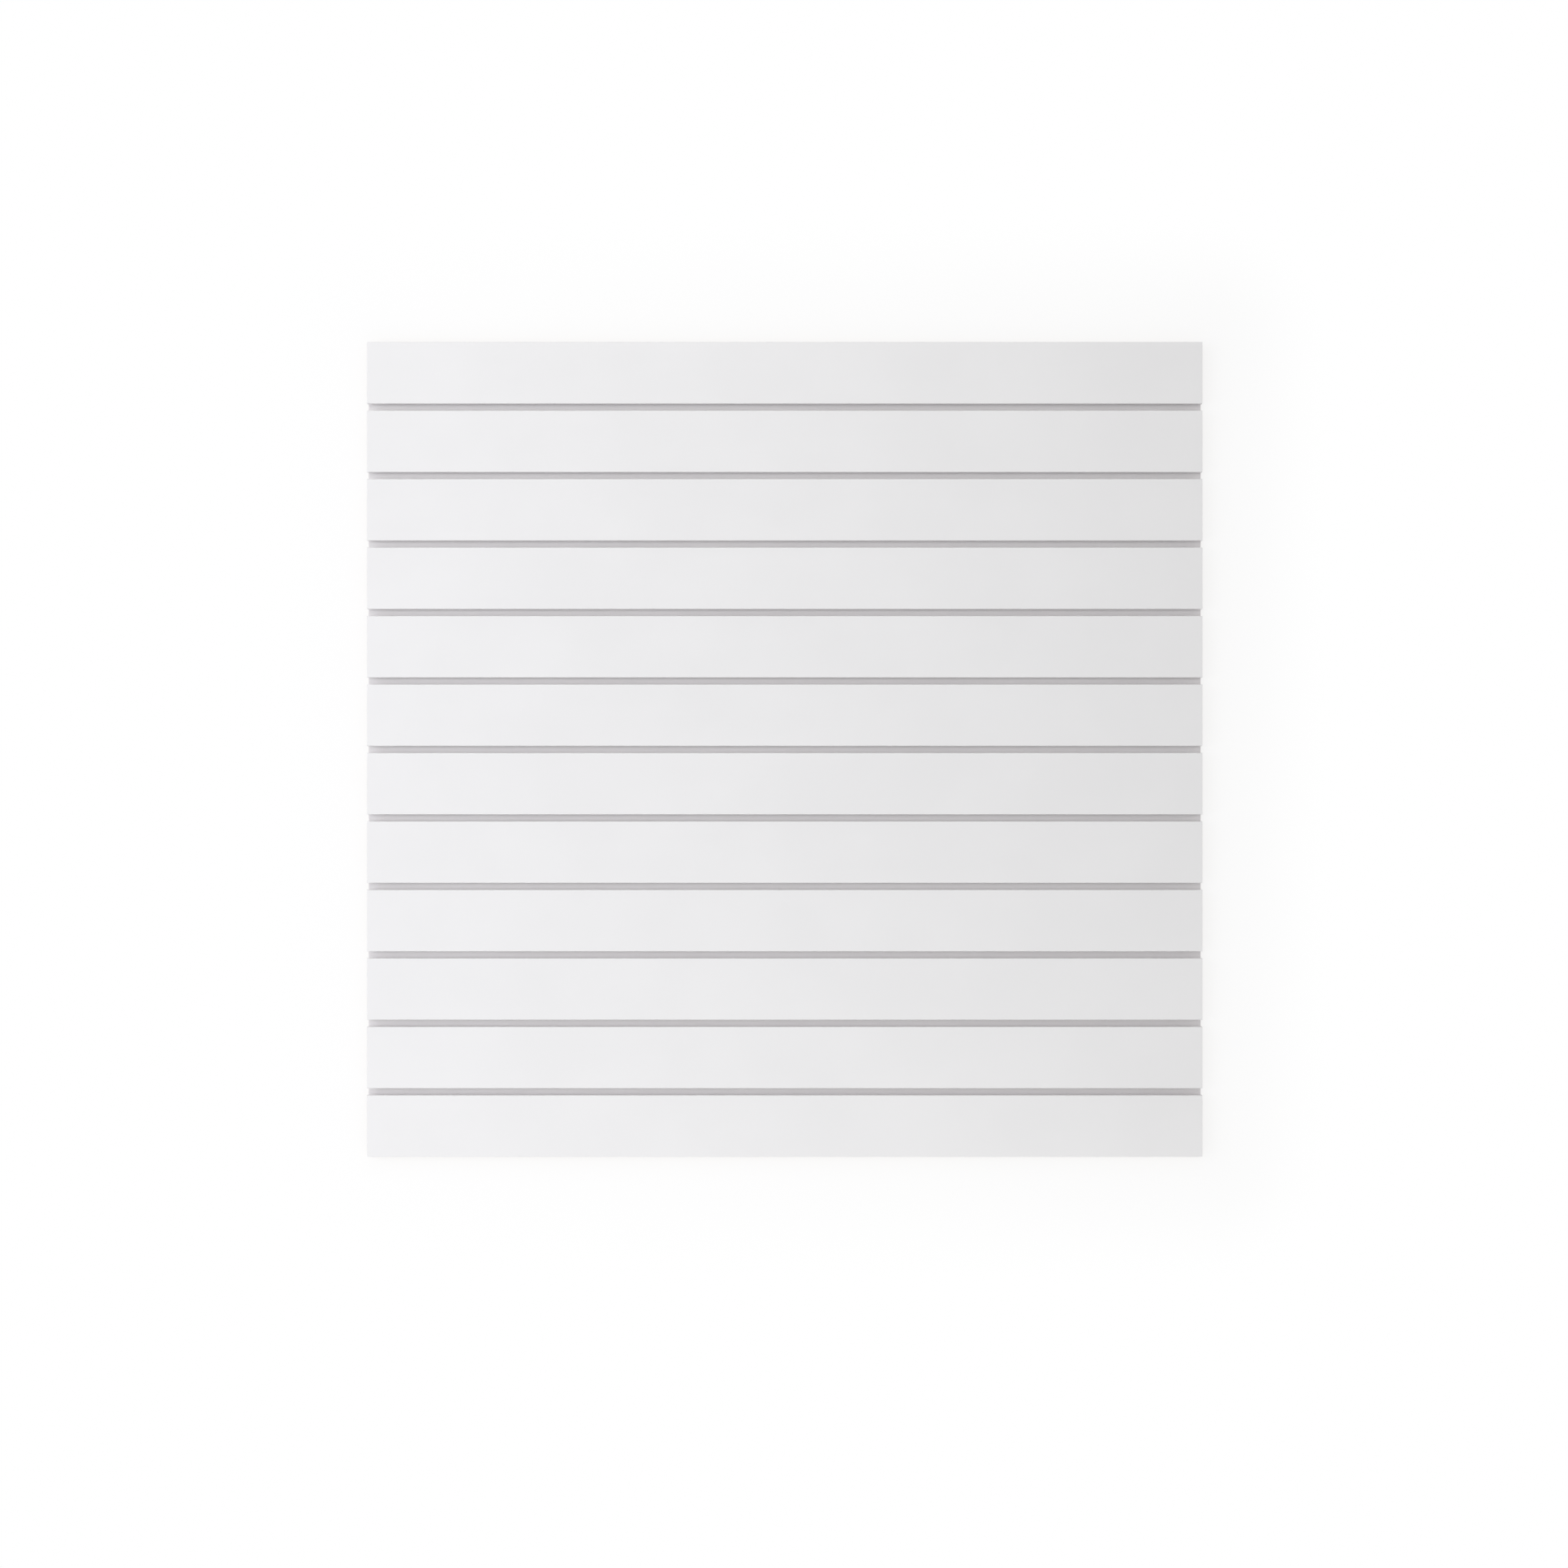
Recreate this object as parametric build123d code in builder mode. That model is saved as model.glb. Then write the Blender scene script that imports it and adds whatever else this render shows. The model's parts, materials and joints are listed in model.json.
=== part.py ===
"""Grooved MDF wall panel: one board, with T-shaped grooves milled the full length of its face.

The panel lies on its back. X runs along the grooves, Y is up the wall when the panel hangs,
and Z points out of the slatted face. The origin is the middle of the back face.
"""

import os

from build123d import *

# Driving dimensions, in millimetres
panel_length = 1220.0  # along the grooves, the full width of a sheet
board_thickness = 18.0
slat_height = 90.0  # flat face of one slat, from groove to groove
groove_count = 11
mouth_height = 10.0  # gap between the two lips of a groove
lip_thickness = 6.0  # board left in front of the undercut
slot_height = 24.0  # undercut that holds a hook, behind the lips
slot_depth = 6.0
lip_radius = 1.0  # sanded front corner of each lip
edge_radius = 0.5  # eased front corner of the top and bottom edges

# Sizes that follow from them
groove_pitch = slat_height + mouth_height
panel_height = (groove_count + 1) * slat_height + groove_count * mouth_height
mouth_middle = board_thickness - lip_thickness / 2
slot_middle = board_thickness - lip_thickness - slot_depth / 2

with BuildPart() as grooved_panel:
    # Section across the grooves: local X is up the wall and local Y is out of the face
    with BuildSketch(Plane.YZ) as section:
        with Locations((0, board_thickness / 2)):
            Rectangle(panel_height, board_thickness)
        with GridLocations(groove_pitch, groove_pitch, groove_count, 1):
            with Locations((0, mouth_middle)):
                Rectangle(mouth_height, lip_thickness, mode=Mode.SUBTRACT)
            with Locations((0, slot_middle)):
                Rectangle(slot_height, slot_depth, mode=Mode.SUBTRACT)
        lip_corners = section.vertices().group_by(Axis.Y)[-1].sort_by(Axis.X)[1:-1]
        fillet(lip_corners, radius=lip_radius)
        face_points = section.vertices().group_by(Axis.Y)[-1].sort_by(Axis.X)
        fillet([face_points[0], face_points[-1]], radius=edge_radius)
    extrude(amount=panel_length / 2, both=True)

grooved_panel.part.label = "grooved_panel"

os.makedirs("parts", exist_ok=True)
export_step(grooved_panel.part, "parts/grooved_panel.step")
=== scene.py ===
"""Looks of a grooved MDF wall panel: one lacquered board with T-shaped grooves along its face.

The panel lies on its back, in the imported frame: X runs along the grooves, Y is up the wall when the
panel hangs, and Z points out of the slatted face. Sizes are in metres.
"""

import json
import logging
from dataclasses import dataclass
from enum import Enum

import bpy
import numpy as np
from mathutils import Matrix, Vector


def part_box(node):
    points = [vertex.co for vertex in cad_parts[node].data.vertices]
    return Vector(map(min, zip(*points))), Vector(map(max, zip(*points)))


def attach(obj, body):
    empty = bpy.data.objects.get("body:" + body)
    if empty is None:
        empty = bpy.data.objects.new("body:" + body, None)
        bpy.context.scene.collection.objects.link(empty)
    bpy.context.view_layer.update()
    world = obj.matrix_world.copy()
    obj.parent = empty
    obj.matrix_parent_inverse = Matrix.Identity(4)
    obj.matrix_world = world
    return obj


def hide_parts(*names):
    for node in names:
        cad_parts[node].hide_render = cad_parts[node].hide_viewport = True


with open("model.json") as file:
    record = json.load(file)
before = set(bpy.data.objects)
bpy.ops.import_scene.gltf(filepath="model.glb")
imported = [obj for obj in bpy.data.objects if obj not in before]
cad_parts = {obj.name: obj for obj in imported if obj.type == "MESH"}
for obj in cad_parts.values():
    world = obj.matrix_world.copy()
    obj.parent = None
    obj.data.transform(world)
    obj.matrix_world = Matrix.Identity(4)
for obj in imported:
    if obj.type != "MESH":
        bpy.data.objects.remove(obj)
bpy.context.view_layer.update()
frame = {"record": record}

LOG = logging.getLogger("grooved_panel")
NODE = "grooved_panel"
BODY = "root"
MM = 0.001
WAVE_PERIOD = np.pi / 10  # width of one band of a Wave node whose scale is 1

Colour = tuple[float, float, float]
Vector3 = tuple[float, float, float]
Span = tuple[float, float]
Socket = bpy.types.NodeSocket
Number = Socket | float
SocketValue = Socket | float | tuple[float, ...]

ZERO: Vector3 = (0.0, 0.0, 0.0)
TRUE_SCALE: Vector3 = (1.0, 1.0, 1.0)
WHOLE: Span = (0.0, 1.0)


class Zone(Enum):
    """Finish of a stretch of the panel's surface. The value is its material slot."""

    FACE = 0
    GROOVE = 1
    LONG_EDGE = 2
    SAWN_END = 3
    BACK = 4


class Grain(Enum):
    """How far the pressed fibres are drawn out along X, Y and Z, as a scale of the coordinates."""

    ALONG_X = (0.25, 1.0, 1.0)
    ALONG_Y = (1.0, 0.25, 1.0)
    IN_PLANE = (0.6, 0.6, 1.0)


class LightTint(Enum):
    """Colour of the studio's light."""

    COOL = (0.909, 0.923, 1.0)
    WARM = (1.0, 0.99, 0.979)
    WHITE = (1.0, 1.0, 1.0)


class Sum(Enum):
    """A sum of numbers. The value is the Math node's name for it."""

    ADD = "ADD"
    SUBTRACT = "SUBTRACT"
    MULTIPLY = "MULTIPLY"
    ABSOLUTE = "ABSOLUTE"
    MAXIMUM = "MAXIMUM"


class VectorSum(Enum):
    """A sum of vectors. The value is the Vector Math node's name for it."""

    ABSOLUTE = "ABSOLUTE"
    MINIMUM = "MINIMUM"
    DISTANCE = "DISTANCE"


@dataclass(frozen=True)
class Cloud:
    """Cloud noise: the width of its features, how many finer octaves it has, and how strong they are."""

    size: float
    octaves: float
    strength: float = 0.5


class Wiring:
    """Adds nodes to one node tree and joins them."""

    def __init__(self, tree: bpy.types.NodeTree) -> None:
        """Keeps the tree that the nodes go into."""
        self.tree = tree

    def add(
        self, kind: str, inputs: dict[str, SocketValue] | None = None, **settings: str | bpy.types.NodeTree
    ) -> bpy.types.Node:
        """Adds one node.

        Args:
            kind: The node's type name.
            inputs: A value or an output socket for each named input.
            settings: The node's own properties.

        Returns:
            The new node.
        """
        node = self.tree.nodes.new(kind)
        for name, value in settings.items():
            setattr(node, name, value)
        for name, value in (inputs or {}).items():
            self.feed(node.inputs[name], value)
        return node

    def feed(self, socket: Socket, value: SocketValue) -> None:
        """Links an output socket to an input, or sets the input's plain value.

        Args:
            socket: The input.
            value: The output socket, or the plain value.
        """
        if isinstance(value, Socket):
            self.tree.links.new(value, socket)
        else:
            socket.default_value = value

    def math(self, operation: Sum, first: Number, second: Number = 0.0) -> Socket:
        """Works out one sum.

        Args:
            operation: The sum.
            first: The first value or socket.
            second: The second value or socket, where the sum takes two.

        Returns:
            The result.
        """
        node = self.add("ShaderNodeMath", operation=operation.value)
        self.feed(node.inputs[0], first)
        self.feed(node.inputs[1], second)
        return node.outputs[0]

    def vector(self, operation: VectorSum, first: Socket, second: Socket | Vector3 = ZERO) -> Socket:
        """Works out one sum of vectors.

        Args:
            operation: The sum.
            first: The first vector's socket.
            second: The second vector or socket, where the sum takes two.

        Returns:
            The result, a number for a distance and a vector for the others.
        """
        node = self.add("ShaderNodeVectorMath", operation=operation.value)
        self.feed(node.inputs[0], first)
        self.feed(node.inputs[1], second)
        return node.outputs["Value" if operation is VectorSum.DISTANCE else "Vector"]

    def noise(self, place: Socket, cloud: Cloud) -> Socket:
        """Makes cloud noise from 0 to 1.

        Args:
            place: The coordinates, in metres.
            cloud: The noise's sizes.

        Returns:
            The noise's value.
        """
        settings = {
            "Vector": place,
            "Scale": 1 / cloud.size,
            "Detail": cloud.octaves,
            "Roughness": cloud.strength,
        }
        return self.add("ShaderNodeTexNoise", settings).outputs["Fac"]

    def stretched(self, place: Socket, scale: Vector3 = TRUE_SCALE, turn: Vector3 = ZERO) -> Socket:
        """Scales coordinates and then turns them.

        Args:
            place: The coordinates.
            scale: The scale along each axis.
            turn: The turn about each axis, in radians.

        Returns:
            The new coordinates.
        """
        settings = {"Vector": place, "Scale": scale, "Rotation": turn}
        return self.add("ShaderNodeMapping", settings).outputs["Vector"]

    def ramp(self, value: Socket, span: Span, low: float = 0.0, high: float = 1.0) -> Socket:
        """Makes a smooth step of a value.

        Args:
            value: The value that is read.
            span: Where the step begins and where it ends.
            low: The result before the step.
            high: The result after it.

        Returns:
            The stepped value.
        """
        settings = {"Value": value, "From Min": span[0], "From Max": span[1], "To Min": low, "To Max": high}
        node = self.add("ShaderNodeMapRange", settings, interpolation_type="SMOOTHSTEP")
        return node.outputs["Result"]

    def blend(self, share: Socket, first: Socket | Colour, second: Socket | Colour) -> Socket:
        """Mixes two colours.

        Args:
            share: The share of the second colour, from 0 to 1.
            first: The first colour, or its socket.
            second: The second colour, or its socket.

        Returns:
            The mixed colour.
        """
        node = self.add("ShaderNodeMix", data_type="RGBA")
        colours = [socket for socket in node.inputs if socket.type == "RGBA"]
        self.feed(node.inputs["Factor"], share)
        for socket, value in zip(colours, (first, second)):
            self.feed(socket, (*value, 1.0) if isinstance(value, tuple) else value)
        return next(socket for socket in node.outputs if socket.type == "RGBA")


class EffectGroup:
    """A node group that takes coordinates and gives named values, for several finishes to share."""

    def __init__(self, name: str, outputs: tuple[str, ...]) -> None:
        """Makes the group with its sockets.

        Args:
            name: The group's name.
            outputs: The names of its values.
        """
        self.tree = bpy.data.node_groups.new(name, "ShaderNodeTree")
        self.tree.interface.new_socket("Place", in_out="INPUT", socket_type="NodeSocketVector")
        for output in outputs:
            self.tree.interface.new_socket(output, in_out="OUTPUT", socket_type="NodeSocketFloat")
        self.wiring = Wiring(self.tree)
        self.place = self.wiring.add("NodeGroupInput").outputs["Place"]
        self.result = self.wiring.add("NodeGroupOutput")

    def give(self, output: str, value: Socket) -> None:
        """Sends a value to one of the group's outputs."""
        self.wiring.feed(self.result.inputs[output], value)


@dataclass(frozen=True)
class LacquerSkin:
    """Sprayed lacquer: slow changes of tone, streaks of sheen, and an orange-peel height."""

    tone: Cloud = Cloud(size=140 * MM, octaves=3)
    streak: Cloud = Cloud(size=30 * MM, octaves=2)
    streak_stretch: Vector3 = (0.2, 1.0, 1.0)
    peel: Cloud = Cloud(size=1.6 * MM, octaves=1)
    swell: Cloud = Cloud(size=20 * MM, octaves=1)
    swell_share: float = 2.0

    def group(self) -> bpy.types.NodeTree:
        """Builds the group.

        Returns:
            The group, with the outputs Tone, Sheen and Peel.
        """
        group = EffectGroup("lacquer_skin", ("Tone", "Sheen", "Peel"))
        wiring = group.wiring
        group.give("Tone", wiring.noise(group.place, self.tone))
        along = wiring.stretched(group.place, self.streak_stretch)
        group.give("Sheen", wiring.noise(along, self.streak))
        peel = wiring.noise(group.place, self.peel)
        swell = wiring.math(Sum.MULTIPLY, wiring.noise(group.place, self.swell), self.swell_share)
        group.give("Peel", wiring.math(Sum.ADD, peel, swell))
        return group.tree


@dataclass(frozen=True)
class PressedFibre:
    """Pressed wood fibre: strands, dark flecks of bark, and a fuzzy height."""

    strand: Cloud = Cloud(size=0.6 * MM, octaves=4, strength=0.63)
    strand_span: Span = (0.3, 0.7)
    fleck: Cloud = Cloud(size=0.9 * MM, octaves=1)
    fleck_span: Span = (0.67, 0.77)
    nap: Cloud = Cloud(size=0.4 * MM, octaves=3, strength=0.63)

    def group(self) -> bpy.types.NodeTree:
        """Builds the group.

        Returns:
            The group, with the outputs Strand, Fleck and Nap.
        """
        group = EffectGroup("pressed_fibre", ("Strand", "Fleck", "Nap"))
        wiring = group.wiring
        strand = wiring.noise(group.place, self.strand)
        group.give("Strand", wiring.ramp(strand, self.strand_span))
        fleck = wiring.noise(group.place, self.fleck)
        group.give("Fleck", wiring.ramp(fleck, self.fleck_span))
        group.give("Nap", wiring.noise(group.place, self.nap))
        return group.tree


class SharedEffects:
    """The node groups that several finishes use, each built once."""

    def __init__(self) -> None:
        """Builds the groups."""
        self.skin = LacquerSkin().group()
        self.fibre = PressedFibre().group()


class Finish:
    """A material, with its shader and its coordinates."""

    def __init__(self, name: str) -> None:
        """Makes the material and links its shader.

        Args:
            name: The material's name.
        """
        self.material = bpy.data.materials.new(name)
        self.material.use_nodes = True
        self.material.node_tree.nodes.clear()
        self.wiring = Wiring(self.material.node_tree)
        self.shader = self.wiring.add("ShaderNodeBsdfPrincipled")
        output = self.wiring.add("ShaderNodeOutputMaterial")
        self.wiring.feed(output.inputs["Surface"], self.shader.outputs["BSDF"])
        self.place = self.wiring.add("ShaderNodeTexCoord").outputs["Object"]

    def effect(self, group: bpy.types.NodeTree, place: Socket) -> dict[str, Socket]:
        """Places a shared group.

        Args:
            group: The group.
            place: The coordinates that it reads.

        Returns:
            Its outputs by name.
        """
        node = self.wiring.add("ShaderNodeGroup", node_tree=group)
        self.wiring.feed(node.inputs["Place"], place)
        return {output.name: output for output in node.outputs}

    def shade(self, colour: Socket, roughness: Number) -> None:
        """Sets the shader's colour and roughness.

        Args:
            colour: The base colour's socket.
            roughness: The roughness, or its socket.
        """
        self.wiring.feed(self.shader.inputs["Base Color"], colour)
        self.wiring.feed(self.shader.inputs["Roughness"], roughness)

    def relief(self, height: Socket, depth: float) -> None:
        """Bumps the shader.

        Args:
            height: The height, in units of the depth.
            depth: The depth, in metres.
        """
        bump = self.wiring.add("ShaderNodeBump", {"Height": height, "Distance": depth, "Strength": 1.0})
        self.wiring.feed(self.shader.inputs["Normal"], bump.outputs["Normal"])


@dataclass(frozen=True)
class SlatLacquer:
    """Satin white lacquer on the slats."""

    clean: Colour = (0.835, 0.835, 0.837)
    shaded: Colour = (0.82, 0.82, 0.822)
    tone_span: Span = (0.3, 0.7)
    sheen_span: Span = (0.25, 0.75)
    glossiest: float = 0.46
    dullest: float = 0.56
    peel_depth: float = 0.012 * MM

    def material(self, effects: SharedEffects) -> bpy.types.Material:
        """Builds the finish.

        Args:
            effects: The shared node groups.

        Returns:
            The material.
        """
        finish = Finish("slat_lacquer")
        wiring = finish.wiring
        skin = finish.effect(effects.skin, finish.place)
        tone = wiring.ramp(skin["Tone"], self.tone_span)
        sheen = wiring.ramp(skin["Sheen"], self.sheen_span, self.glossiest, self.dullest)
        finish.shade(wiring.blend(tone, self.clean, self.shaded), sheen)
        finish.relief(skin["Peel"], self.peel_depth)
        return finish.material


@dataclass(frozen=True)
class GroovePaint:
    """White lacquer inside the grooves, thinner and duller, over the cutter's fine streaks. Its colours are
    a little darker than the slats' lacquer, partly for the thinner paint and partly as painted shade that
    deepens the grooves' own shade.
    """

    # clean and thin sit below the slats' colours: the thinner paint, plus painted shade for the grooves
    clean: Colour = (0.817, 0.801, 0.807)
    thin: Colour = (0.786, 0.767, 0.763)
    smooth: float = 0.5
    dry: float = 0.66
    sheen_span: Span = (0.25, 0.75)
    streak: Cloud = Cloud(size=0.7 * MM, octaves=2)
    streak_stretch: Vector3 = (0.01, 1.0, 1.0)
    streak_span: Span = (0.35, 0.7)
    streak_depth: float = 0.03 * MM
    nap_share: float = 0.5

    def material(self, effects: SharedEffects) -> bpy.types.Material:
        """Builds the finish.

        Args:
            effects: The shared node groups.

        Returns:
            The material.
        """
        finish = Finish("groove_paint")
        wiring = finish.wiring
        fibre = finish.effect(effects.fibre, wiring.stretched(finish.place, Grain.ALONG_X.value))
        skin = finish.effect(effects.skin, finish.place)
        streak = wiring.noise(wiring.stretched(finish.place, self.streak_stretch), self.streak)
        worn = wiring.math(Sum.MULTIPLY, fibre["Strand"], wiring.ramp(streak, self.streak_span))
        sheen = wiring.ramp(skin["Sheen"], self.sheen_span, self.smooth, self.dry)
        finish.shade(wiring.blend(worn, self.clean, self.thin), sheen)
        nap = wiring.math(Sum.MULTIPLY, fibre["Nap"], self.nap_share)
        finish.relief(wiring.math(Sum.ADD, streak, nap), self.streak_depth)
        return finish.material


@dataclass(frozen=True)
class SawnFibreboard:
    """Raw edge of the board: pale loose core, darker dense outer layers, and the saw's marks."""

    name: str
    grain: Grain
    thickness: float
    overspray: float
    core: Colour = (0.5, 0.345, 0.19)
    strand: Colour = (0.385, 0.25, 0.128)
    dense: Colour = (0.3, 0.185, 0.09)
    fleck: Colour = (0.16, 0.09, 0.045)
    lacquer: Colour = (0.82, 0.82, 0.82)
    dense_layer: float = 3.8 * MM
    dense_share: float = 0.75
    fleck_share: float = 0.7
    mark_pitch: float = 2.6 * MM
    mark_lean: float = 0.3
    mark_drift: float = 5.0
    mark_drift_octaves: float = 2.0
    mark_drift_scale: float = 0.4
    mark_tint: float = 0.22
    mark_height: float = 0.4
    mist: Cloud = Cloud(size=1.8 * MM, octaves=4, strength=0.65)
    mist_reach: float = 2.4
    mist_cover: float = 0.95
    nap_depth: float = 0.09 * MM
    raw_roughness: float = 0.88
    lacquer_roughness: float = 0.5

    def material(self, effects: SharedEffects) -> bpy.types.Material:
        """Builds the finish.

        Args:
            effects: The shared node groups.

        Returns:
            The material.
        """
        finish = Finish(self.name)
        wiring = finish.wiring
        fibre = finish.effect(effects.fibre, wiring.stretched(finish.place, self.grain.value))
        height = wiring.add("ShaderNodeSeparateXYZ", {"Vector": finish.place}).outputs["Z"]
        marks = self._saw_marks(wiring, finish.place)
        mist = self._overspray(wiring, finish.place, height)
        colour = self._fibre_colour(wiring, fibre, height)
        colour = wiring.blend(wiring.math(Sum.MULTIPLY, marks, self.mark_tint), colour, self.strand)
        roughness = wiring.ramp(mist, WHOLE, self.raw_roughness, self.lacquer_roughness)
        finish.shade(wiring.blend(mist, colour, self.lacquer), roughness)
        ridges = wiring.math(Sum.MULTIPLY, marks, self.mark_height)
        finish.relief(wiring.math(Sum.ADD, fibre["Nap"], ridges), self.nap_depth)
        return finish.material

    def _fibre_colour(self, wiring: Wiring, fibre: dict[str, Socket], height: Socket) -> Socket:
        """Colours the fibres, darker towards the two faces of the board.

        Args:
            wiring: The material's wiring.
            fibre: The placed fibre group's outputs.
            height: The height above the back.

        Returns:
            The colour.
        """
        middle = self.thickness / 2
        off_middle = wiring.math(Sum.ABSOLUTE, wiring.math(Sum.SUBTRACT, height, middle))
        dense = wiring.ramp(off_middle, (middle - self.dense_layer, middle), 0.0, self.dense_share)
        colour = wiring.blend(fibre["Strand"], self.core, self.strand)
        colour = wiring.blend(dense, colour, self.dense)
        flecks = wiring.math(Sum.MULTIPLY, fibre["Fleck"], self.fleck_share)
        return wiring.blend(flecks, colour, self.fleck)

    def _saw_marks(self, wiring: Wiring, place: Socket) -> Socket:
        """Draws the saw's uneven bands, which lean as they cross the edge.

        Args:
            wiring: The material's wiring.
            place: The coordinates.

        Returns:
            The bands, from 0 to 1.
        """
        along_x = self.grain is Grain.ALONG_X
        lean = (0.0, self.mark_lean, 0.0) if along_x else (self.mark_lean, 0.0, 0.0)
        settings = {
            "Vector": wiring.stretched(place, turn=lean),
            "Scale": WAVE_PERIOD / self.mark_pitch,
            "Distortion": self.mark_drift,
            "Detail": self.mark_drift_octaves,
            "Detail Scale": self.mark_drift_scale,
        }
        wave = wiring.add("ShaderNodeTexWave", settings, bands_direction="X" if along_x else "Y")
        return wave.outputs["Fac"]

    def _overspray(self, wiring: Wiring, place: Socket, height: Socket) -> Socket:
        """Masks the lacquer that the spray left below the front corner.

        Args:
            wiring: The material's wiring.
            place: The coordinates.
            height: The height above the back.

        Returns:
            The lacquer's share, from 0 to 1.
        """
        below = wiring.math(Sum.SUBTRACT, self.thickness, height)
        mist = wiring.noise(place, self.mist)
        ragged = wiring.math(Sum.MULTIPLY, mist, self.overspray * self.mist_reach)
        reach = wiring.math(Sum.SUBTRACT, ragged, below)
        return wiring.ramp(reach, (-self.overspray, self.overspray), 0.0, self.mist_cover)


@dataclass(frozen=True)
class SandedBack:
    """Raw back of the board, sanded along its length."""

    light: Colour = (0.5, 0.352, 0.208)
    dark: Colour = (0.365, 0.24, 0.126)
    fleck: Colour = (0.2, 0.115, 0.06)
    fleck_share: float = 0.6
    strand_share: float = 0.4
    streak: Cloud = Cloud(size=2.0 * MM, octaves=2)
    streak_stretch: Vector3 = (0.02, 1.0, 1.0)
    streak_share: float = 0.25
    patch: Cloud = Cloud(size=70 * MM, octaves=4)
    patch_share: float = 0.35
    tone_span: Span = (0.3, 0.7)
    roughness: float = 0.8
    nap_depth: float = 0.03 * MM

    def material(self, effects: SharedEffects) -> bpy.types.Material:
        """Builds the finish.

        Args:
            effects: The shared node groups.

        Returns:
            The material.
        """
        finish = Finish("sanded_back")
        wiring = finish.wiring
        fibre = finish.effect(effects.fibre, wiring.stretched(finish.place, Grain.IN_PLANE.value))
        streak = wiring.noise(wiring.stretched(finish.place, self.streak_stretch), self.streak)
        patch = wiring.noise(finish.place, self.patch)
        strand_part = wiring.math(Sum.MULTIPLY, fibre["Strand"], self.strand_share)
        streak_part = wiring.ramp(streak, self.tone_span, 0.0, self.streak_share)
        patch_part = wiring.ramp(patch, self.tone_span, 0.0, self.patch_share)
        share = wiring.math(Sum.ADD, strand_part, wiring.math(Sum.ADD, streak_part, patch_part))
        colour = wiring.blend(share, self.light, self.dark)
        flecks = wiring.math(Sum.MULTIPLY, fibre["Fleck"], self.fleck_share)
        finish.shade(wiring.blend(flecks, colour, self.fleck), self.roughness)
        finish.relief(wiring.math(Sum.ADD, fibre["Nap"], streak), self.nap_depth)
        return finish.material


BoardFinish = SlatLacquer | GroovePaint | SawnFibreboard | SandedBack


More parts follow.
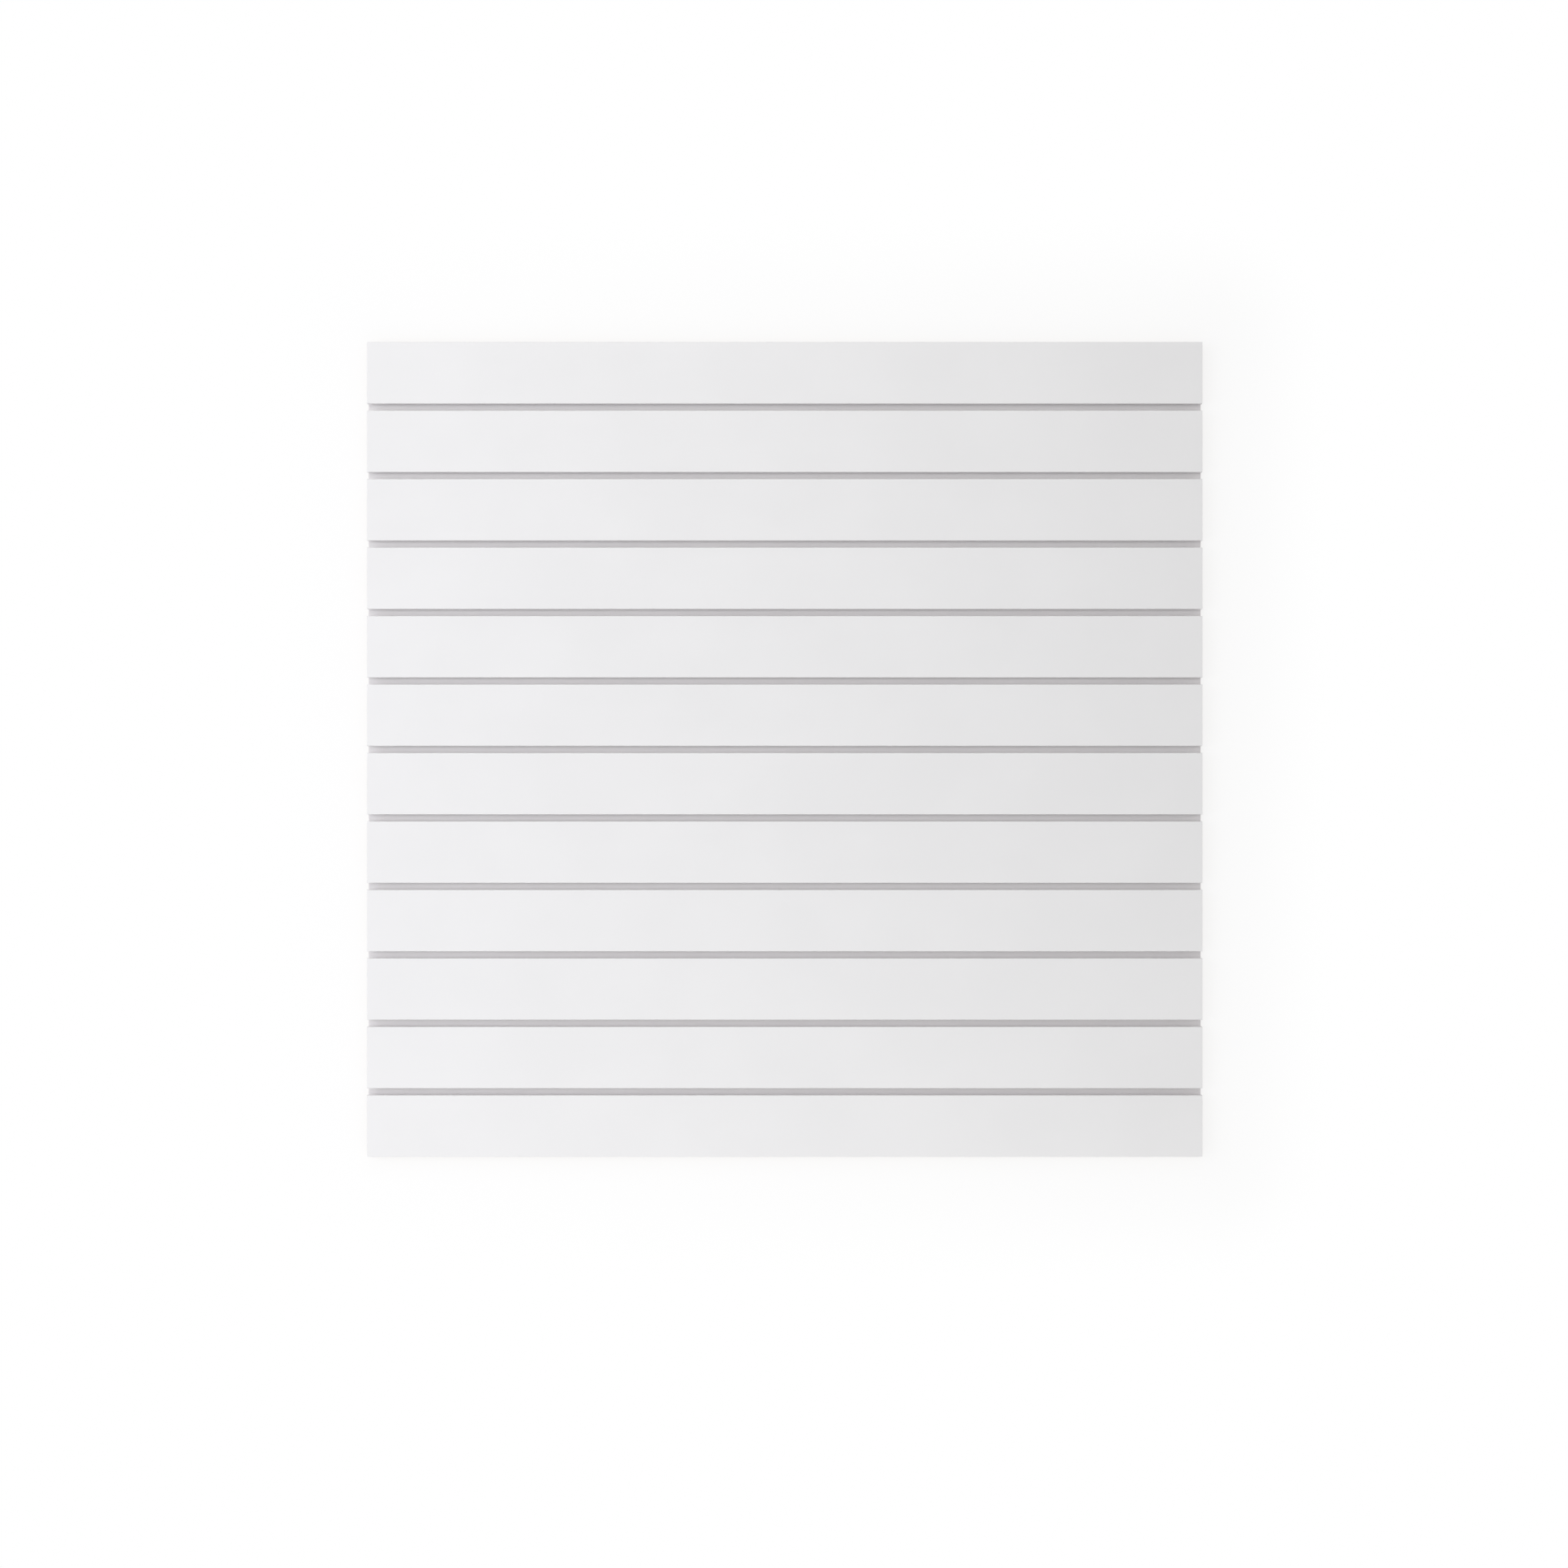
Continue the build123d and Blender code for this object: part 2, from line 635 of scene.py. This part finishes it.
@dataclass
class GroovedPanel:
    """The board: its section is carried along X, between two sawn ends."""

    length: float
    height: float
    thickness: float
    groove_centres: np.ndarray
    mouth: float = 10.0 * MM
    lip: float = 6.0 * MM
    slot: float = 24.0 * MM
    slot_depth: float = 6.0 * MM
    lip_radius: float = 1.0 * MM
    edge_radius: float = 0.5 * MM
    back_radius: float = 0.3 * MM
    inner_radius: float = 0.25 * MM
    cutter_radius: float = 0.4 * MM
    end_break: float = 0.2 * MM
    edge_overspray: float = 0.5 * MM
    end_overspray: float = 0.1 * MM
    arc_steps: int = 6
    bays: int = 24

    @classmethod
    def from_frame(cls) -> "GroovedPanel":
        """Reads the outer sizes and the grooves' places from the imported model.

        Returns:
            The panel, with its grooves from the top down.
        """
        low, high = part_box(NODE)
        size = high - low
        mounts = frame["record"]["mounts"]
        centres = sorted((mount["pos_m"][1] for mount in mounts if mount["kind"] == "slide"), reverse=True)
        return cls(size.x, size.y, size.z, np.array(centres))

    def corners(self) -> tuple[np.ndarray, np.ndarray]:
        """Lists the section's corners, anticlockwise seen from +X, and the radius of each.

        One groove's outline is four corners of its upper half and their mirror image, and the
        whole row of grooves is that outline added to each centre.

        Returns:
            The corners as (Y, Z) rows, and their radii.
        """
        half, top = self.height / 2, self.thickness
        lip_back = top - self.lip
        floor = lip_back - self.slot_depth
        upper = np.array(
            [
                (self.mouth / 2, top),
                (self.mouth / 2, lip_back),
                (self.slot / 2, lip_back),
                (self.slot / 2, floor),
            ]
        )
        groove = np.vstack([upper, upper[::-1] * (-1, 1)])
        shifts = np.stack([self.groove_centres, np.zeros_like(self.groove_centres)], axis=1)
        row = (shifts[:, None] + groove[None]).reshape(-1, 2)
        corners = np.vstack([[(-half, 0), (half, 0), (half, top)], row, [(-half, top)]])
        upper_radii = [self.lip_radius, self.inner_radius, self.cutter_radius, self.cutter_radius]
        groove_radii = np.tile(upper_radii + upper_radii[::-1], len(shifts))
        back = [self.back_radius, self.back_radius]
        return corners, np.concatenate([back, [self.edge_radius], groove_radii, [self.edge_radius]])

    def zones(self) -> np.ndarray:
        """Gives the finish of each stretch of the section.

        A groove has eight corners. The first and the last are its lips, which are dressed as the
        face is, and the six between them lie inside.

        Returns:
            For each corner, a row of the finishes of its arc's steps and of the run that follows.
        """
        grooves = len(self.groove_centres)
        inner_corners = 6
        edge, face, back = Zone.LONG_EDGE.value, Zone.FACE.value, Zone.BACK.value
        inside = [Zone.GROOVE.value] * inner_corners
        arcs = [face, *inside, face]
        runs = [Zone.GROOVE.value, *inside, face]
        arc_zones = np.concatenate([[edge, edge, face], np.tile(arcs, grooves), [face]])
        run_zones = np.concatenate([[back, edge, face], np.tile(runs, grooves), [edge]])
        return np.column_stack([np.repeat(arc_zones[:, None], self.arc_steps, axis=1), run_zones])

    def section(self) -> tuple[np.ndarray, np.ndarray]:
        """Rounds every corner of the section.

        At a corner c with unit vectors a towards the corner before and b towards the next one, the
        arc of radius r is c + r (a + b - b cos t - a sin t), with t from 0 to a quarter turn. The
        normal there is -(b cos t + a sin t), turned round where the corner is hollow.

        Returns:
            The points and the normals, as (Y, Z) rows.
        """
        corners, radii = self.corners()
        before = np.roll(corners, 1, axis=0) - corners
        after = np.roll(corners, -1, axis=0) - corners
        before /= np.linalg.norm(before, axis=1, keepdims=True)
        after /= np.linalg.norm(after, axis=1, keepdims=True)
        outward = np.sign(before[:, 1] * after[:, 0] - before[:, 0] * after[:, 1])
        turn = np.linspace(0, np.pi / 2, self.arc_steps + 1)[None, :, None]
        spoke = -(after[:, None] * np.cos(turn) + before[:, None] * np.sin(turn))
        points = corners[:, None] + radii[:, None, None] * ((before + after)[:, None] + spoke)
        normals = spoke * outward[:, None, None]
        return points.reshape(-1, 2), normals.reshape(-1, 2)

    def stations(self) -> tuple[np.ndarray, np.ndarray]:
        """Places the section along X.

        Returns:
            The places, and how far the section is drawn in at each.
        """
        half = self.length / 2
        inner = np.linspace(-half + self.end_break, half - self.end_break, self.bays + 1)
        places = np.concatenate([[-half], inner, [half]])
        drawn_in = np.where(np.abs(places) > half - self.end_break / 2, self.end_break, 0.0)
        return places, drawn_in

    def mesh(self) -> bpy.types.Mesh:
        """Carries the section along X and closes both ends.

        A point is (x, section - drawn_in x normal), so the last strip at each end is a small break
        of 45 degrees, and the two ends are the section itself, drawn in.

        Returns:
            The closed mesh, with a material slot for each face and a true normal for each corner.
        """
        points, normals = self.section()
        places, drawn_in = self.stations()
        across = points[None] - drawn_in[:, None, None] * normals[None]
        along = np.broadcast_to(places[:, None, None], (*across.shape[:2], 1))
        vertices = np.concatenate([along, across], axis=2).reshape(-1, 3)
        index = np.arange(len(vertices)).reshape(across.shape[:2])
        ahead = np.roll(index, -1, axis=1)
        quads = np.stack([index[:-1], ahead[:-1], ahead[1:], index[1:]], axis=2).reshape(-1, 4)
        ends = [index[0, ::-1].tolist(), index[-1].tolist()]
        mesh = bpy.data.meshes.new("grooved_panel_board")
        mesh.from_pydata(vertices.tolist(), [], quads.tolist() + ends)
        slots = np.tile(self.zones().ravel(), len(places) - 1)
        slots = np.append(slots, [Zone.SAWN_END.value] * len(ends))
        mesh.polygons.foreach_set("material_index", slots.astype(np.int32))
        mesh.polygons.foreach_set("use_smooth", np.ones(len(slots), dtype=bool))
        mesh.normals_split_custom_set(self._corner_normals(normals, len(places)).tolist())
        mesh.update()
        return mesh

    @staticmethod
    def _corner_normals(normals: np.ndarray, station_count: int) -> np.ndarray:
        """Gives the shading normal of every face corner.

        A strip's normals are the section's own. The first and the last strip are the breaks at the
        ends, so theirs lean outwards along X by 45 degrees.

        Args:
            normals: The section's normals, as (Y, Z) rows.
            station_count: How many times the section stands along X.

        Returns:
            One row for each corner of each strip's quads, then of the two ends.
        """
        flat = np.column_stack([np.zeros(len(normals)), normals])
        following = np.roll(flat, -1, axis=0)
        strip = np.stack([flat, following, following, flat], axis=1)
        strips = np.repeat(strip[None], station_count - 1, axis=0)
        strips[0, ..., 0] = -1.0
        strips[-1, ..., 0] = 1.0
        strips /= np.linalg.norm(strips, axis=-1, keepdims=True)
        end = np.tile((1.0, 0.0, 0.0), (len(normals), 1))
        return np.concatenate([strips.reshape(-1, 3), -end, end])

    def finishes(self) -> dict[Zone, BoardFinish]:
        """Gives the finish of each zone.

        Returns:
            The finishes by zone.
        """
        long_edge = SawnFibreboard("raw_long_edge", Grain.ALONG_X, self.thickness, self.edge_overspray)
        sawn_end = SawnFibreboard("raw_sawn_end", Grain.ALONG_Y, self.thickness, self.end_overspray)
        return {
            Zone.FACE: SlatLacquer(),
            Zone.GROOVE: GroovePaint(),
            Zone.LONG_EDGE: long_edge,
            Zone.SAWN_END: sawn_end,
            Zone.BACK: SandedBack(),
        }

    def build(self, effects: SharedEffects) -> bpy.types.Object:
        """Makes the board, dresses it and puts it in the place of the CAD node.

        Args:
            effects: The shared node groups.

        Returns:
            The board.
        """
        mesh = self.mesh()
        finishes = self.finishes()
        for zone in Zone:
            mesh.materials.append(finishes[zone].material(effects))
        board = bpy.data.objects.new("grooved_panel_board", mesh)
        bpy.context.scene.collection.objects.link(board)
        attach(board, BODY)
        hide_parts(NODE)
        return board


@dataclass(frozen=True)
class SoftLamp:
    """An oblong soft lamp, turned towards a point, that no picture shows.

    Its width lies level with the floor.
    """

    name: str
    place: Vector3
    width: float
    height: float
    power: float
    tint: LightTint
    aim: Vector3 = ZERO

    def build(self) -> bpy.types.Object:
        """Makes the lamp.

        Returns:
            The lamp.
        """
        light = bpy.data.lights.new(self.name, "AREA")
        light.shape = "RECTANGLE"
        light.size = self.width
        light.size_y = self.height
        light.energy = self.power
        light.color = self.tint.value
        lamp = bpy.data.objects.new(self.name, light)
        lamp.location = self.place
        towards = Vector(self.aim) - Vector(self.place)
        lamp.rotation_euler = towards.to_track_quat("-Z", "Y").to_euler()
        lamp.visible_camera = False
        bpy.context.scene.collection.objects.link(lamp)
        return lamp


@dataclass(frozen=True)
class Studio:
    """A pale floor, an even surround, and soft lamps on the left, overhead, at the head and at the foot."""

    surround: float = 0.402
    surround_tint: LightTint = LightTint.WARM
    backdrop: float = 1.0
    floor_half: float = 20.0
    floor_drop: float = 0.2 * MM
    floor_colour: Colour = (0.95, 0.95, 0.95)
    floor_glow: float = 0.8
    fade_near: float = 20 * MM
    fade_far: float = 200 * MM
    lamps: tuple[SoftLamp, ...] = (
        SoftLamp(
            name="left_bank",
            place=(-2.8, 0.0, 2.2),
            width=2.4,
            height=2.0,
            power=48.1,
            tint=LightTint.COOL,
        ),
        SoftLamp(
            name="overhead_bank",
            place=(-0.4, 0.6, 5.0),
            width=3.0,
            height=3.0,
            power=44.6,
            tint=LightTint.WARM,
        ),
        SoftLamp(
            name="head_strip",
            place=(-0.3, 1.8, 1.6),
            width=2.4,
            height=1.2,
            power=9.95,
            tint=LightTint.WARM,
            aim=(0.0, 0.3, 0.0),
        ),
        SoftLamp(
            name="foot_strip",
            place=(0.0, -1.6, 1.2),
            width=2.4,
            height=1.2,
            power=8.85,
            tint=LightTint.WARM,
            aim=(0.0, -0.4, 0.0),
        ),
    )

    def build(self, panel: GroovedPanel) -> list[bpy.types.Object]:
        """Makes the surround, the floor and the lamps.

        Args:
            panel: The panel that lies on the floor.

        Returns:
            The floor and the lamps.
        """
        bpy.context.scene.view_settings.view_transform = "Standard"
        self._surround()
        return [self._floor(panel), *(lamp.build() for lamp in self.lamps)]

    @staticmethod
    def _seen(wiring: Wiring) -> Socket:
        """Tells rays that show the backdrop itself from rays that carry its light.

        Args:
            wiring: The wiring that the nodes go into.

        Returns:
            1 for rays that show the backdrop, and 0 for the others.
        """
        path = wiring.add("ShaderNodeLightPath")
        seen = wiring.math(Sum.MAXIMUM, path.outputs["Is Camera Ray"], path.outputs["Is Glossy Ray"])
        return wiring.math(Sum.MAXIMUM, seen, path.outputs["Is Transmission Ray"])

    def _surround(self) -> None:
        """Makes an even surround that shows white behind the panel."""
        world = bpy.data.worlds.new("studio_surround")
        bpy.context.scene.world = world
        world.use_nodes = True
        world.node_tree.nodes.clear()
        wiring = Wiring(world.node_tree)
        seen = self._seen(wiring)
        settings = {
            "Color": wiring.blend(seen, self.surround_tint.value, LightTint.WHITE.value),
            "Strength": wiring.ramp(seen, WHOLE, self.surround, self.backdrop),
        }
        surround = wiring.add("ShaderNodeBackground", settings)
        output = wiring.add("ShaderNodeOutputWorld")
        wiring.feed(output.inputs["Surface"], surround.outputs["Background"])

    def _floor(self, panel: GroovedPanel) -> bpy.types.Object:
        """Makes the floor just under the panel.

        Args:
            panel: The panel that lies on the floor.

        Returns:
            The floor.
        """
        side, drop = self.floor_half, -self.floor_drop
        ring = [(-side, -side, drop), (side, -side, drop), (side, side, drop), (-side, side, drop)]
        mesh = bpy.data.meshes.new("studio_floor")
        mesh.from_pydata(ring, [], [(0, 1, 2, 3)])
        mesh.materials.append(self._floor_finish(panel))
        floor = bpy.data.objects.new("studio_floor", mesh)
        bpy.context.scene.collection.objects.link(floor)
        return floor

    def _floor_finish(self, panel: GroovedPanel) -> bpy.types.Material:
        """Makes the floor's material.

        By the panel it shows nearly white and keeps the shadow. Further out it fades to the backdrop's
        plain white, by the distance from the panel's outline. With the panel's corner c and the point p
        of the floor turned into the same quarter, the nearest point of the panel is the lesser of the
        two along each axis.

        Args:
            panel: The panel that lies on the floor.

        Returns:
            The material.
        """
        material = bpy.data.materials.new("studio_floor")
        material.use_nodes = True
        material.node_tree.nodes.clear()
        wiring = Wiring(material.node_tree)
        matt = wiring.add("ShaderNodeBsdfDiffuse", {"Color": (*self.floor_colour, 1.0)})
        glow = wiring.add("ShaderNodeEmission", {"Strength": self.backdrop})
        point = wiring.vector(VectorSum.ABSOLUTE, wiring.add("ShaderNodeTexCoord").outputs["Object"])
        corner = (panel.length / 2, panel.height / 2, 0.0)
        nearest = wiring.vector(VectorSum.MINIMUM, point, corner)
        away = wiring.vector(VectorSum.DISTANCE, point, nearest)
        fade = wiring.ramp(away, (self.fade_near, self.fade_far), self.floor_glow, 1.0)
        share = wiring.math(Sum.MULTIPLY, self._seen(wiring), fade)
        surface = wiring.add("ShaderNodeMixShader", {"Fac": share})
        wiring.feed(surface.inputs[1], matt.outputs["BSDF"])
        wiring.feed(surface.inputs[2], glow.outputs["Emission"])
        output = wiring.add("ShaderNodeOutputMaterial")
        wiring.feed(output.inputs["Surface"], surface.outputs["Shader"])
        return material


@dataclass(frozen=True)
class ProductCamera:
    """A camera straight above the panel, framed as the picture is."""

    distance: float = 2.8
    picture_px: float = 1932.0
    panel_width_px: float = 1029.5
    panel_middle_px: tuple[float, float] = (966.8, 923.4)

    def build(self, panel: GroovedPanel) -> bpy.types.Object:
        """Places the camera so that the panel's width and middle fall on their pixels.

        Args:
            panel: The panel in the picture.

        Returns:
            The camera.
        """
        metres_per_px = panel.length / self.panel_width_px
        data = bpy.data.cameras.new("product_camera")
        data.lens = data.sensor_width * self.distance / (self.picture_px * metres_per_px)
        camera = bpy.data.objects.new("product_camera", data)
        bpy.context.scene.collection.objects.link(camera)
        right = (self.picture_px / 2 - self.panel_middle_px[0]) * metres_per_px
        up = (self.panel_middle_px[1] - self.picture_px / 2) * metres_per_px
        camera.location = (right, up, panel.thickness + self.distance)
        bpy.context.scene.camera = camera
        return camera


def main() -> None:
    """Builds the panel, the studio and the camera in order."""
    logging.basicConfig(level=logging.INFO, format="%(message)s")
    panel = GroovedPanel.from_frame()
    board = panel.build(SharedEffects())
    LOG.info("%s: %d grooves, %d faces", board.name, len(panel.groove_centres), len(board.data.polygons))
    for piece in Studio().build(panel):
        LOG.info("%s", piece.name)
    LOG.info("%s", ProductCamera().build(panel).name)


if __name__ == "__main__":
    main()
